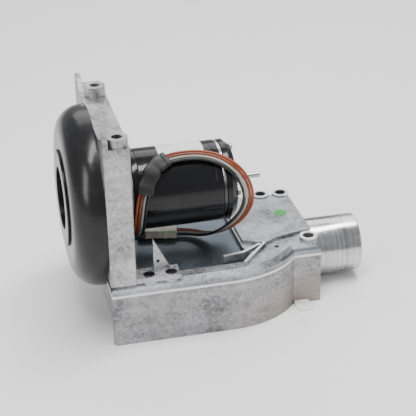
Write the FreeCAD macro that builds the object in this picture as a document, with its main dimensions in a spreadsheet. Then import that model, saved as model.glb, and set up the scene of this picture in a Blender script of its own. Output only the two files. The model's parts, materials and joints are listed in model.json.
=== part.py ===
"""Combustion fan: a motor-driven centrifugal blower on a two-part die-cast discharge box.

The rotor's axis runs along X. Air enters the eye of the round shell on the left (-X), leaves the impeller at
its rim, falls through the window into the box and goes out of the spigot on the right (+X).
The frame's origin is under the middle of the whole fan, on the face that it stands on, with +Z up.
"""
import FreeCAD, Part

import math
import os
import re

import Sketcher

Vector = FreeCAD.Vector

# ---------------------------------------------------------------- driving dimensions, in millimetres
DRIVING = {
    # discharge box
    "casing_long": 182, "casing_wide": 150, "casing_wall": 4, "end_wall": 8, "floor_thick": 3,
    "base_high": 43.2, "seal_thick": 0.8, "cover_high": 10, "cover_skin": 3, "cover_chamfer": 4.5,
    "scroll_x": 100, "nose_front": 47, "nose_back": 60, "corner_round": 6,
    "recess_left": 24, "recess_right": 117, "recess_in": 14, "recess_deep": 4,
    "plateau_left": 119, "plateau_front": 33, "plateau_back": 48, "plateau_high": 2.5,
    "window_half": 40, "window_gap": 1, "step_long": 24, "step_high": 24, "lip_out": 1.2, "lip_high": 2.2,
    # casing screws
    "post_round": 7, "screw_round": 2.5, "screw_hole": 2.8, "head_round": 4.2, "head_high": 3.4,
    "sink_round": 4.8, "sink_deep": 6, "thread_deep": 18, "lug_round": 9, "lug_high": 1.5,
    # upright frame
    "frame_deep": 21, "frame_plate": 4, "frame_top": 181, "frame_rim": 172, "frame_wall": 4,
    "foot_long": 36, "foot_wide": 17, "foot_high": 4, "fin_left": 37, "fin_long": 14, "fin_high": 32,
    "fin_thick": 4, "fin_in": 15.5, "boss_round": 8.5, "boss_hole": 4.2, "boss_hole_deep": 14, "boss_in": 9,
    "boss_back_y": 42, "boss_x": 12.2, "boss_high": 24,
    # impeller shell
    "shell_round": 75, "shell_deep": 25, "shell_shoulder": 22, "shell_wall": 2.5, "shell_boss": 6,
    "shell_boss_at": 67.5, "shell_boss_deep": 9, "eye_round": 28, "inlet_flange": 40, "inlet_thick": 2,
    "inlet_throat": 9.5, "inlet_wall": 2,
    # motor
    "axis_high": 102, "motor_round": 34, "motor_wall": 2.5, "flange_out": 9.4, "bell_flange_thick": 5,
    "bell_long": 22.5, "band_long": 3, "can_long": 74, "rear_bell": 9, "bell_web": 6, "dome": 5,
    "mount_out": 5.4, "rod_at": 28.6, "rod_round": 1.5,
    # rotor, bearings and stator
    "shaft_round": 4, "shaft_mid": 5, "stub_round": 2.2, "stub_end": 142, "thread_round": 3,
    "bearing_round": 11, "bearing_wide": 7, "inner_race": 5.6, "outer_race": 9.4, "ball_round": 1.85,
    "seat_wall": 3, "front_seat": 12, "rear_seat": 106.4, "stack_left": 44, "stack_long": 48, "air_gap": 0.5,
    "rotor_round": 16.7, "stator_slot_at": 22, "slot_round": 3, "wire_round": 2.7, "coil_long": 8,
    "coil_inner": 18.6, "coil_outer": 25.6, "ring_long": 4, "seal_gap": 0.06, "seal_round": 13,
    # impeller
    "impeller_round": 58, "blade_inner": 31, "blade_wide": 12, "blade_thick": 1.2, "plate_thick": 1.5,
    "impeller_gap": 3, "hub_round": 9, "hub_long": 11.5, "nut_flat": 10, "nut_thick": 5,
    # outlet
    "spigot_long": 45, "spigot_round": 25, "seat_step": 0.6, "spigot_wall": 1.8, "spigot_high": 27,
    "spigot_chamfer": 1.2, "tab_thick": 2.6, "tab_long": 15,
    # leads and what holds them
    "lead_round": 1.2, "lead_pitch": 2.6, "hold_wide": 11.4, "hold_high": 3.9, "hold_wall": 0.9,
    "tie_long": 3.6, "sleeve_long": 7, "sleeve_wall": 1.1,
    "gland_long": 8, "gland_wide": 14, "gland_high": 6.8, "plug_long": 34, "plug_wide": 13, "plug_high": 7.6,
}

doc = FreeCAD.newDocument("combustion_fan")
sizes = doc.addObject("Spreadsheet::Sheet", "sizes")
for row, (alias, number) in enumerate(DRIVING.items(), 1):
    sizes.set(f"A{row}", alias)
    sizes.set(f"B{row}", str(number))
    sizes.setAlias(f"B{row}", alias)
doc.recompute()

# Every x below is counted from the box's left wall; this is where that wall lies in the fan's own frame.
LEFT_WALL = "(shell_deep + inlet_thick - casing_long - spigot_long) / 2"
COVER_LOW = "base_high + seal_thick"
COVER_TOP = "base_high + seal_thick + cover_high"
SCREWS_RIGHT = [("casing_long - 8", "10.5 - nose_front"), ("casing_long - 8", "nose_back - 9.5"),
                ("casing_long - 26", "nose_back - 8")]
SCREWS_LEFT = [("frame_deep + 11", f"{side} * (casing_wide / 2 - 7.5)") for side in (-1, 1)]
SCREWS_LEFT += [("frame_deep + 29", f"{side} * (casing_wide / 2 - 7.5)") for side in (-1, 1)]
SHELL_SCREW_ANGLES = (20, 160, 200, 340)
FLANGE = "motor_round + flange_out"
MOTOR_MOUNT = "(motor_round + mount_out)"
SPIGOT_SEAT = "(spigot_round - seat_step)"
SUBPARTS = []


# ---------------------------------------------------------------- helpers
def ref(text):
    """An expression in the sheet's names, as the document writes it."""
    return re.sub(r"\b([a-z]\w*)\b", r"sizes.\1", str(text))


def value(text):
    """The number that an expression in the sheet's names has now."""
    return float(sizes.evalExpression(ref(text)))


def keep(item, label):
    """Names a finished sub-part, which is then checked and written."""
    item.Label = label
    SUBPARTS.append(item)
    return item


def place(item, x="0", y="0", z="0"):
    """Puts an object at a point counted from the box's left wall, the fan's middle and its underside."""
    item.setExpression("Placement.Base.x", ref(f"{x} + {LEFT_WALL}"))
    item.setExpression("Placement.Base.y", ref(y))
    item.setExpression("Placement.Base.z", ref(z))
    return item


def at_angle(radius, degrees):
    """The y and z offsets of a point at a radius from the rotor's axis, counted from +Y towards +Z."""
    angle = math.radians(degrees)
    return f"{radius} * {math.cos(angle):.6f}", f"{radius} * {math.sin(angle):.6f}"


def new_body(name, x="0", y="0", z="0"):
    return place(keep(doc.addObject("PartDesign::Body", name), name), x, y, z)


def sketch(body, name, plane="XY_Plane", lift="0"):
    """An empty sketch on one of the body's own origin planes, lifted along that plane's normal."""
    made = body.newObject("Sketcher::SketchObject", f"{body.Name}_{name}")
    support = next(item for item in body.Origin.OriginFeatures if item.Role == plane)
    made.AttachmentSupport = [(support, "")]
    made.MapMode = "FlatFace"
    made.setExpression("AttachmentOffset.Base.z", ref(lift))
    return made


def bind(made, kind, geometry, vertex, number):
    """Ties one coordinate of a sketch vertex to an expression."""
    where = made.addConstraint(Sketcher.Constraint(kind, -1, 1, geometry, vertex, value(number)))
    made.setExpression(f"Constraints[{where}]", ref(number))


def outline(made, points):
    """A closed outline of straight lines through points given as pairs of expressions."""
    places = [Vector(value(across), value(up), 0) for across, up in points]
    first = made.GeometryCount
    for start, end in zip(places, places[1:] + places[:1]):
        made.addGeometry(Part.LineSegment(start, end), False)
    for index, (across, up) in enumerate(points):
        following = first + (index + 1) % len(points)
        made.addConstraint(Sketcher.Constraint("Coincident", first + index, 2, following, 1))
        bind(made, "DistanceX", first + index, 1, across)
        bind(made, "DistanceY", first + index, 1, up)
    return made


def box_outline(made, left, right, low, high):
    return outline(made, [(left, low), (right, low), (right, high), (left, high)])


def circle(made, across, up, radius):
    centre = Vector(value(across), value(up), 0)
    index = made.addGeometry(Part.Circle(centre, Vector(0, 0, 1), value(radius)), False)
    bind(made, "DistanceX", index, 3, across)
    bind(made, "DistanceY", index, 3, up)
    where = made.addConstraint(Sketcher.Constraint("Radius", index, value(radius)))
    made.setExpression(f"Constraints[{where}]", ref(radius))
    return made


def feature(body, kind, name, profile, length=None, backwards=False):
    """A Pad or Pocket of a sketch, checked to have added or removed material."""
    before = body.Shape.Volume if body.Tip else 0.0
    made = body.newObject(f"PartDesign::{kind}", f"{body.Name}_{name}")
    made.Profile = profile
    made.Reversed = backwards
    made.setExpression("Length", ref(length))
    body.Tip = made
    doc.recompute()
    if abs(body.Shape.Volume - before) < 1e-3:
        raise RuntimeError(f"{made.Name} changes nothing")
    return made


def pad(body, name, profile, length, backwards=False):
    return feature(body, "Pad", name, profile, length, backwards)


def pocket(body, name, profile, length, backwards=False):
    return feature(body, "Pocket", name, profile, length, backwards)


def turn(body, name, profile, kind="Revolution"):
    """Turns a sketched profile about the body's X axis."""
    made = body.newObject(f"PartDesign::{kind}", f"{body.Name}_{name}")
    made.Profile = profile
    made.ReferenceAxis = (profile, ["H_Axis"])
    made.Angle = 360
    body.Tip = made
    doc.recompute()
    return made


def turned(body, name, points):
    """A profile of straight lines in (x along the axis, radius), turned about the body's X axis."""
    return turn(body, name, outline(sketch(body, name + "_profile", "XZ_Plane"), points))


def turned_cup(body, name, bottom, radius, corner, kind):
    """A round cup that opens at x = 0, with one rounded corner where its side meets its bottom."""
    made = sketch(body, name + "_profile", "XZ_Plane")
    points = [(bottom, "0"), (bottom, f"{radius} - ({corner})"), (f"{bottom} + ({corner})", radius),
              ("0", radius), ("0", "0")]
    places = [Vector(value(across), value(up), 0) for across, up in points]
    bend = value(corner)
    centre = Vector(places[1].x + bend, places[1].y, 0)
    quarter = Part.ArcOfCircle(Part.Circle(centre, Vector(0, 0, 1), bend), math.pi / 2, math.pi)
    made.addGeometry(Part.LineSegment(places[0], places[1]), False)
    made.addGeometry(quarter, False)
    for start, end in ((2, 3), (3, 4), (4, 0)):
        made.addGeometry(Part.LineSegment(places[start], places[end]), False)
    ends = [(0, 2, 1, 2), (1, 1, 2, 1), (2, 2, 3, 1), (3, 2, 4, 1), (4, 2, 0, 1)]
    for joint in ends:
        made.addConstraint(Sketcher.Constraint("Coincident", *joint))
    vertices = [(0, 1), (0, 2), (2, 1), (2, 2), (4, 1)]
    for (across, up), (geometry, vertex) in zip(points, vertices):
        bind(made, "DistanceX", geometry, vertex, across)
        bind(made, "DistanceY", geometry, vertex, up)
    where = made.addConstraint(Sketcher.Constraint("Radius", 1, bend))
    made.setExpression(f"Constraints[{where}]", ref(corner))
    return turn(body, name, made, kind)


def turned_part(label, points):
    """A sub-part turned about the rotor's axis."""
    body = new_body(label, z="axis_high")
    turned(body, "turned", points)
    return body


def round_edges(body, name, radius, chosen, kind="Fillet"):
    """Rounds or bevels the edges of the body's tip that chosen(edge) picks."""
    base = body.Tip
    names = [f"Edge{i}" for i, edge in enumerate(base.Shape.Edges, 1) if chosen(edge)]
    made = body.newObject(f"PartDesign::{kind}", f"{body.Name}_{name}")
    made.Base = (base, names)
    made.setExpression("Radius" if kind == "Fillet" else "Size", ref(radius))
    body.Tip = made
    doc.recompute()
    return made


def flat_at(height):
    """Picks the edges that lie level at a height."""
    def chosen(edge):
        box = edge.BoundBox
        return abs(box.ZMin - value(height)) < 1e-4 and abs(box.ZMax - value(height)) < 1e-4
    return chosen


def cylinder(name, radius, length, x, y, z, along="Z"):
    """A Part cylinder that starts at a point and runs along +X, +Y or +Z."""
    made = doc.addObject("Part::Cylinder", name)
    made.setExpression("Radius", ref(radius))
    made.setExpression("Height", ref(length))
    axis = {"X": Vector(1, 0, 0), "Y": Vector(0, 1, 0), "Z": Vector(0, 0, 1)}[along]
    made.Placement = FreeCAD.Placement(Vector(), FreeCAD.Rotation(Vector(0, 0, 1), axis))
    return place(made, x, y, z)


def tube(label, outer, inner, length, x, y="0", z="axis_high", along="X"):
    """A plain ring or tube, as its outer cylinder less its bore."""
    made = doc.addObject("Part::Cut", label)
    made.Base = cylinder(label + "_outer", outer, length, x, y, z, along)
    made.Tool = cylinder(label + "_bore", inner, length, x, y, z, along)
    return made


def joined(kind, label, pieces):
    """A Part::MultiFuse, or a Part::Compound of pieces that stay separate."""
    made = doc.addObject(f"Part::{kind}", label)
    if kind == "Compound":
        made.Links = pieces
    else:
        made.Shapes = pieces
    return made


def screw(name, x, y, z, shank, shank_long, head, head_long, along):
    """A cap screw whose head starts at a point and whose shank runs back from it."""
    back = {"X": (f"{x} - ({shank_long})", y, z), "Z": (x, y, f"{z} - ({shank_long})")}[along]
    pieces = [cylinder(name + "_shank", shank, shank_long, *back, along),
              cylinder(name + "_head", head, head_long, x, y, z, along)]
    return joined("MultiFuse", name, pieces)


# ---------------------------------------------------------------- discharge box
def plan(body, name, kind, low, height, inset="0", end_inset="0", backwards=False, left_inset=None):
    """The box's outline in plan, padded or cut: rectangle, round scroll and the nose behind the spigot."""
    half = f"casing_wide / 2 - ({inset})"
    scroll = circle(sketch(body, name + "_scroll", lift=low), "scroll_x", "0", half)
    feature(body, kind, name + "_round", scroll, height, backwards)
    left = sketch(body, name + "_left", lift=low)
    box_outline(left, left_inset or inset, "scroll_x", f"-({half})", half)
    feature(body, kind, name + "_straight", left, height, backwards)
    nose = sketch(body, name + "_nose", lift=low)
    box_outline(nose, "scroll_x", f"casing_long - ({end_inset})", f"({inset}) - nose_front",
                f"nose_back - ({inset})")
    feature(body, kind, name + "_end", nose, height, backwards)


def drill(body, name, places, radius, low, depth, backwards):
    """One pocket of round holes at the given places."""
    holes = sketch(body, name + "_holes", lift=low)
    for x, y in places:
        circle(holes, x, y, radius)
    pocket(body, name, holes, depth, backwards)


def spigot_bore(body, low):
    """Cuts the spigot's seat through the end wall of a piece, if the seat reaches the piece's underside."""
    if value(f"spigot_high + {SPIGOT_SEAT} - ({low})") < 0:
        return
    end_face = sketch(body, "bore", "YZ_Plane", "casing_long")
    bore = circle(end_face, "0", f"spigot_high - ({low})", SPIGOT_SEAT)
    pocket(body, "spigot_bore", bore, "end_wall")


def air_window(body, low, high):
    """Cuts an upper piece's share of the window that joins the shell to the box."""
    window = sketch(body, "window", "YZ_Plane", "casing_wall")
    box_outline(window, "-window_half", "window_half", low, high)
    pocket(body, "air_window", window, "casing_wall + 1")


def casing_base():
    """The lower casting: an open box, stepped up under the shell, with screw posts and the spigot's bore."""
    body = new_body("casing_base")
    half = "casing_wide / 2"
    plan(body, "outside", "Pad", "0", "base_high")
    under = box_outline(sketch(body, "under"), "-1", "step_long", f"casing_wall - {half}", f"{half} + 1")
    pocket(body, "step_cut", under, "step_high", True)
    plan(body, "inside", "Pocket", "floor_thick", "base_high - floor_thick", "casing_wall", "end_wall", True)
    riser = box_outline(sketch(body, "riser"), "step_long", "step_long + casing_wall", f"-{half}", half)
    pad(body, "riser_pad", riser, "step_high + floor_thick")
    shelf = box_outline(sketch(body, "shelf", lift="step_high"),
                        "0", "step_long + casing_wall", f"-{half}", half)
    pad(body, "shelf_pad", shelf, "floor_thick")
    posts = SCREWS_LEFT + SCREWS_RIGHT
    for number, (x, y) in enumerate(posts):
        post = circle(sketch(body, f"post_{number}", lift="floor_thick"), x, y, "post_round")
        pad(body, f"post_pad_{number}", post, "base_high - floor_thick")
    drill(body, "threads", posts, "screw_round", "base_high", "thread_deep", False)
    spigot_bore(body, "0")
    window = circle(sketch(body, "window", "YZ_Plane", "casing_wall"), "0", "axis_high",
                    "shell_round - shell_wall - window_gap")
    pocket(body, "air_window", window, "casing_wall + 1")
    slot = box_outline(sketch(body, "slot"), "casing_long - 22", "casing_long - 12.5", "-nose_front - 1",
                       "casing_wall - nose_front")
    pocket(body, "tab_slot", slot, "tab_thick", True)

    def left_corners(edge):
        box = edge.BoundBox
        outside = abs(abs(box.YMax) - value(half)) < 1e-4
        return box.XMax < 1e-4 and box.ZLength > 10 and outside
    round_edges(body, "corners", "corner_round / 2", left_corners)
    return body


def cover_seal():
    """The flat seal on the joint face between the two castings."""
    body = new_body("cover_seal", z="base_high")
    plan(body, "outside", "Pad", "0", "seal_thick", "0.4", "0.4")
    plan(body, "inside", "Pocket", "0", "seal_thick", "casing_wall - 0.4", "casing_wall", True)
    posts = SCREWS_LEFT + SCREWS_RIGHT
    for number, (x, y) in enumerate(posts):
        eye = circle(sketch(body, f"eye_{number}"), x, y, "post_round - 0.5")
        pad(body, f"eyelet_{number}", eye, "seal_thick")
    drill(body, "screw", posts, "screw_hole", "seal_thick", "seal_thick", False)
    air_window(body, "-1", "seal_thick + 1")
    spigot_bore(body, "base_high")
    return body


def casing_cover():
    """The upper casting: bevelled rim, sunk deck under the motor, raised pad with lugs by the outlet."""
    body = new_body("casing_cover", z=COVER_LOW)
    half = "(casing_wide / 2 - recess_in)"
    plan(body, "outside", "Pad", "0", "cover_high")
    round_edges(body, "bevel", "cover_chamfer", flat_at("cover_high"), "Chamfer")
    plan(body, "lip", "Pad", "0", "lip_high", "-lip_out", left_inset="0")
    plan(body, "inside", "Pocket", "0", "cover_high - recess_deep - cover_skin",
         "casing_wall", "end_wall", True)
    deck = sketch(body, "deck", lift="cover_high")
    outline(deck, [("recess_left", f"-{half}"), ("recess_right - 5", f"-{half}"),
                   ("recess_right + 4", f"13 - {half}"), ("recess_right", f"25 - {half}"),
                   ("recess_right", f"{half} - 12"), ("recess_right - 12", half), ("recess_left", half)])
    pocket(body, "sunk_deck", deck, "recess_deep")
    raised = sketch(body, "raised", lift="cover_high")
    outline(raised, [("plateau_left", "5 - plateau_front"), ("plateau_left + 17", "-plateau_front - 4"),
                     ("plateau_left + 29", "3 - plateau_front"), ("casing_long - 16", "8 - plateau_front"),
                     ("casing_long - 2", "11 - plateau_front"), ("casing_long - 2", "plateau_back - 6"),
                     ("casing_long - 12", "plateau_back"), ("plateau_left", "plateau_back")])
    pad(body, "plateau", raised, "plateau_high")
    for number, (x, y) in enumerate(SCREWS_RIGHT):
        lug = circle(sketch(body, f"lug_{number}", lift="0"), x, y, "lug_round - 1.5")
        pad(body, f"lug_pad_{number}", lug, "cover_high + plateau_high + lug_high")
    for number, (x, y) in enumerate(SCREWS_LEFT):
        eye = circle(sketch(body, f"post_eye_{number}"), x, y, "post_round")
        pad(body, f"post_{number}", eye, "cover_high")
    top = "cover_high + plateau_high + lug_high"
    drill(body, "right_sinks", SCREWS_RIGHT, "sink_round", top, "sink_deep", False)
    drill(body, "right_screw", SCREWS_RIGHT, "screw_hole", top, top, False)
    drill(body, "left_screw", SCREWS_LEFT, "screw_hole", "cover_high", "cover_high", False)
    drill(body, "dimple", [("casing_long - 37", "-plateau_front - 9")], "2.2", "cover_high", "2.5", False)
    air_window(body, "-1", "cover_high - recess_deep - cover_skin")
    spigot_bore(body, COVER_LOW)
    front = "-plateau_front"
    ribs = [[(-8, -32), (-6, -33.5), (18, -4.5), (16, -3.5)],
            [(-22, -20.5), (-4, -17.5), (13, -6.5), (12, -4.5), (-5, -15), (-22, -18)]]
    for number, corners in enumerate(ribs):
        rib = sketch(body, f"rib_{number}", lift="cover_high - recess_deep")
        outline(rib, [(f"plateau_left + {x}", f"{front} + {y}") for x, y in corners])
        pad(body, f"rib_pad_{number}", rib, "recess_deep + plateau_high + 0.8")
    return body


# ---------------------------------------------------------------- upright frame
def frame():
    """The upright casting: a plate with a rim, two screw bosses at the top and two feet with fins."""
    body = new_body("frame", z=COVER_TOP)
    half = "casing_wide / 2"
    plate = sketch(body, "plate", "YZ_Plane")
    foot_z = "0"
    top = f"frame_top - ({COVER_TOP})"
    rim_top = f"frame_rim - ({COVER_TOP})"
    outline(plate, [(f"-{half}", foot_z), (half, foot_z), (half, top), (f"{half} - 14", top),
                    (f"{half} - 22", rim_top), (f"22 - {half}", rim_top), (f"8 - {half}", f"{top} - 2"),
                    (f"-{half}", f"{top} - 2")])
    pad(body, "plate_pad", plate, "frame_plate")
    rim = box_outline(sketch(body, "rim", "YZ_Plane", "frame_plate"), f"-{half}", half, foot_z, rim_top)
    box_outline(rim, f"frame_wall - {half}", f"{half} - frame_wall", "frame_wall", f"{rim_top} - frame_wall")
    pad(body, "rim_pad", rim, "frame_deep - frame_plate")
    bosses = [("boss_x", f"boss_in - {half}", f"{top} - 2"), ("boss_x", "boss_back_y", top)]
    for number, (x, y, high) in enumerate(bosses):
        base = f"{high} - boss_high"
        boss = circle(sketch(body, f"boss_{number}", lift=base), x, y, "boss_round")
        pad(body, f"boss_pad_{number}", boss, "boss_high")
        hole = circle(sketch(body, f"boss_hole_{number}", lift=high), x, y, "boss_hole")
        pocket(body, f"boss_bore_{number}", hole, "boss_hole_deep")
    for number, side in enumerate((-1, 1)):
        edges = sorted([f"{side} * ({half} - 1)", f"{side} * ({half} - 1 - foot_wide)"], key=value)
        foot = sketch(body, f"foot_{number}")
        box_outline(foot, "frame_deep - frame_wall", "frame_deep + foot_long", *edges)
        pad(body, f"foot_pad_{number}", foot, "foot_high")
        fin = sketch(body, f"fin_{number}", "XZ_Plane", f"{-side} * ({half} - 1 - fin_in)")
        outline(fin, [("fin_left", "1"), ("fin_left + fin_long", "1"), ("fin_left + fin_long", "foot_high"),
                      ("fin_left", "fin_high")])
        circle(fin, "fin_left + 3.5", "12", "1.4")
        pad(body, f"fin_pad_{number}", fin, "fin_thick", side > 0)
    holes = [(x, y) for x, y in SCREWS_LEFT]
    drill(body, "foot_sinks", holes, "sink_round", "foot_high", "foot_high / 2", False)
    drill(body, "foot_screw", holes, "screw_hole", "foot_high", "foot_high", False)
    axis = f"axis_high - ({COVER_TOP})"
    face = sketch(body, "plate_holes", "YZ_Plane", "frame_plate")
    circle(face, "0", axis, "seal_round")
    for angle in SHELL_SCREW_ANGLES:
        across, up = at_angle("shell_boss_at", angle)
        circle(face, across, f"{axis} + {up}", "2.2")
    for angle in (45, 135, 225, 315):
        across, up = at_angle(MOTOR_MOUNT, angle)
        circle(face, across, f"{axis} + {up}", "2")
    pocket(body, "plate_bores", face, "frame_plate")

    def outer_rim(edge):
        box = edge.BoundBox
        wide = value(half)
        front = abs(box.YMin + wide) < 1e-4 and abs(box.YMax + wide) < 1e-4
        right = abs(box.XMin - box.XMax) < 1e-4 and abs(box.XMax - value("frame_deep")) < 1e-4
        return front and right and box.ZLength > 50
    round_edges(body, "rim_round", "2", outer_rim)
    return body


# ---------------------------------------------------------------- impeller shell
def impeller_shell():
    """The deep-drawn round shell with its inlet eye and the bosses that take the screws."""
    body = new_body("impeller_shell", z="axis_high")
    turned_cup(body, "outside", "-shell_deep", "shell_round", "shell_shoulder", "Revolution")
    turned_cup(body, "inside", "shell_wall - shell_deep", "shell_round - shell_wall",
               "shell_shoulder - shell_wall", "Groove")
    for number, angle in enumerate(SHELL_SCREW_ANGLES):
        across, up = at_angle("shell_boss_at", angle)
        boss_face = sketch(body, f"boss_{number}", "YZ_Plane", "-shell_boss_deep")
        boss = circle(boss_face, across, up, "shell_boss")
        pad(body, f"boss_pad_{number}", boss, "shell_boss_deep")
    eye = circle(sketch(body, "eye", "YZ_Plane"), "0", "0", "eye_round")
    pocket(body, "eye_cut", eye, "shell_deep + 1")
    threads = sketch(body, "threads", "YZ_Plane")
    for angle in SHELL_SCREW_ANGLES:
        across, up = at_angle("shell_boss_at", angle)
        circle(threads, across, up, "2")
    pocket(body, "thread_cut", threads, "shell_boss_deep - 1")
    return body


def shell_group():
    """The shell's inlet ring and its screws, which come through the frame's plate from the right."""
    flange_left = "-shell_deep - inlet_thick"
    turned_part("inlet_ring", [
        (flange_left, "eye_round - inlet_wall"), (flange_left, "inlet_flange"),
        ("-shell_deep", "inlet_flange"),
        ("-shell_deep", "eye_round"), ("-shell_deep + inlet_throat", "eye_round"),
        ("-shell_deep + inlet_throat", "eye_round - inlet_wall")])
    screws = []
    for number, angle in enumerate(SHELL_SCREW_ANGLES):
        across, up = at_angle("shell_boss_at", angle)
        screws.append(screw(f"shell_screw_{number}", "frame_plate", across, f"axis_high + {up}",
                            "2", "frame_plate + shell_boss_deep - 2", "3.8", "3", "X"))
    keep(joined("Compound", "shell_screws_group", screws), "shell_screws")


# ---------------------------------------------------------------- motor
def motor_housing():
    """Front bell with its mounting flange, two bright bands, the painted can and the domed rear bell."""
    start = "frame_plate"
    bell_end = "frame_plate + bell_long"
    inner = "motor_round - motor_wall"
    seat = "bearing_round + seat_wall"
    front = turned_part("motor_front_bell", [
        (start, "hub_round"), (start, FLANGE), (f"{start} + bell_flange_thick", FLANGE),
        (f"{start} + bell_flange_thick", "motor_round"), (bell_end, "motor_round"), (bell_end, inner),
        (f"{start} + bell_web", inner), (f"{start} + bell_web", seat), ("front_seat + bearing_wide", seat),
        ("front_seat + bearing_wide", "bearing_round"), ("front_seat", "bearing_round"),
        ("front_seat", "hub_round")])
    holes = sketch(front, "mounts", "YZ_Plane", f"{start} + bell_flange_thick")
    for angle in (45, 135, 225, 315):
        circle(holes, *at_angle(MOTOR_MOUNT, angle), "2.2")
    pocket(front, "mount_holes", holes, "bell_flange_thick")
    rods = sketch(front, "rods", "YZ_Plane", f"{start} + bell_web")
    for angle in (0, 90, 180, 270):
        circle(rods, *at_angle("rod_at", angle), "rod_round")
    pocket(front, "rod_threads", rods, "bell_web - 1")
    keep(tube("front_band_ring", "motor_round - 0.4", inner, "band_long", bell_end), "motor_front_band")
    can_left = f"{bell_end} + band_long"
    keep(tube("motor_can_tube", "motor_round", inner, "can_long", can_left), "motor_can")
    rear_band = f"{can_left} + can_long"
    keep(tube("rear_band_ring", "motor_round - 0.4", inner, "band_long", rear_band), "motor_rear_band")
    left = f"{rear_band} + band_long"
    right = f"{left} + rear_bell"
    seat_end = "rear_seat + bearing_wide + 0.6"
    rear = turned_part("motor_rear_bell", [
        (left, "motor_round"), (f"{right} - dome", "motor_round"), (right, "motor_round - dome + 1"),
        (right, "shaft_mid + 1"), (seat_end, "shaft_mid + 1"), (seat_end, "bearing_round"),
        ("rear_seat - 0.6", "bearing_round"), ("rear_seat - 0.6", seat), (f"{right} - bell_web", seat),
        (f"{right} - bell_web", inner), (left, inner)])
    through = sketch(rear, "rods", "YZ_Plane", right)
    for angle in (0, 90, 180, 270):
        circle(through, *at_angle("rod_at", angle), "rod_round + 0.2")
    pocket(rear, "rod_holes", through, "bell_web")
    rods = []
    for number, angle in enumerate((0, 90, 180, 270)):
        across, up = at_angle("rod_at", angle)
        rods.append(screw(f"tie_rod_{number}", right, across, f"axis_high + {up}", "rod_round",
                          f"{right} - {start} - 2", "2.8", "2.2", "X"))
    keep(joined("Compound", "tie_rods_group", rods), "tie_rods")
    mounts = []
    for number, angle in enumerate((45, 135, 225, 315)):
        across, up = at_angle(MOTOR_MOUNT, angle)
        mounts.append(screw(f"motor_screw_{number}", f"{start} + bell_flange_thick", across,
                            f"axis_high + {up}", "2", "bell_flange_thick + frame_plate", "3.6", "3", "X"))
    keep(joined("Compound", "motor_screws_group", mounts), "motor_screws")
    keep(tube("shaft_seal_ring", "seal_round", "shaft_round + seal_gap", "frame_plate", "0"), "shaft_seal")
    keep(tube("wave_washer_ring", "bearing_round - 0.4", "outer_race", "0.6", "rear_seat + bearing_wide"),
         "wave_washer")


def stator():
    """The laminated stack with its slots, and the winding that fills them and loops over both ends."""
    body = new_body("stator_core", z="axis_high")
    bore = "rotor_round + air_gap"
    turned(body, "stack", [("stack_left", bore), ("stack_left", "motor_round - motor_wall"),
                           ("stack_left + stack_long", "motor_round - motor_wall"),
                           ("stack_left + stack_long", bore)])
    slots = sketch(body, "slots", "YZ_Plane", "stack_left + stack_long")
    for index in range(12):
        circle(slots, *at_angle("stator_slot_at", 30 * index + 15), "slot_round")
    for angle in (0, 90, 180, 270):
        circle(slots, *at_angle("rod_at", angle), "rod_round + 0.2")
    pocket(body, "slot_cut", slots, "stack_long")
    winding = new_body("stator_winding", z="axis_high")
    turned(winding, "left_coil", [("stack_left - coil_long", "coil_inner"),
                                  ("stack_left - coil_long", "coil_outer"),
                                  ("stack_left", "coil_outer"), ("stack_left", "coil_inner")])
    wires = sketch(winding, "wires", "YZ_Plane", "stack_left - 1")
    for index in range(12):
        circle(wires, *at_angle("stator_slot_at", 30 * index + 15), "wire_round")
    pad(winding, "wires_pad", wires, "stack_long + 2")
    right = "stack_left + stack_long"
    turned(winding, "right_coil", [(right, "coil_inner"), (right, "coil_outer"),
                                   (f"{right} + coil_long", "coil_outer"),
                                   (f"{right} + coil_long", "coil_inner")])


def rotor():
    """The stepped shaft, the squirrel-cage core on it and the core's two end rings."""
    mid_left = "front_seat + bearing_wide"
    turned_part("motor_shaft", [
        ("-shell_deep + 5", "0"), ("-shell_deep + 5", "thread_round"),
        ("-impeller_gap - hub_long", "thread_round"),
        ("-impeller_gap - hub_long", "shaft_round"), (mid_left, "shaft_round"), (mid_left, "shaft_mid"),
        ("rear_seat", "shaft_mid"), ("rear_seat", "shaft_round"),
        ("rear_seat + bearing_wide + 1", "shaft_round"),
        ("rear_seat + bearing_wide + 1", "stub_round"), ("stub_end - 0.8", "stub_round"),
        ("stub_end", "stub_round - 0.8"), ("stub_end", "0")])
    keep(tube("rotor_core_tube", "rotor_round", "shaft_mid", "stack_long", "stack_left"), "rotor_core")
    ring = ("rotor_round - 0.5", "shaft_mid + 4", "ring_long")
    rings = [tube("rotor_ring_left", *ring, "stack_left - ring_long"),
             tube("rotor_ring_right", *ring, "stack_left + stack_long")]
    keep(joined("Compound", "rotor_rings_group", rings), "rotor_end_rings")


def bearing(name, left):
    """A ball bearing as its outer ring, its inner ring and its set of balls."""
    outer = tube(name + "_outer_tube", "bearing_round", "outer_race", "bearing_wide", left)
    keep(outer, name + "_outer_ring")
    keep(tube(name + "_inner_tube", "inner_race", "shaft_round", "bearing_wide", left), name + "_inner_ring")
    balls = []
    for index in range(7):
        across, up = at_angle("(inner_race + outer_race) / 2", 360 * index / 7)
        ball = doc.addObject("Part::Sphere", f"{name}_ball_{index}")
        ball.setExpression("Radius", ref("ball_round"))
        balls.append(place(ball, f"{left} + bearing_wide / 2", across, f"axis_high + {up}"))
    keep(joined("Compound", name + "_ball_set", balls), name + "_balls")


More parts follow.
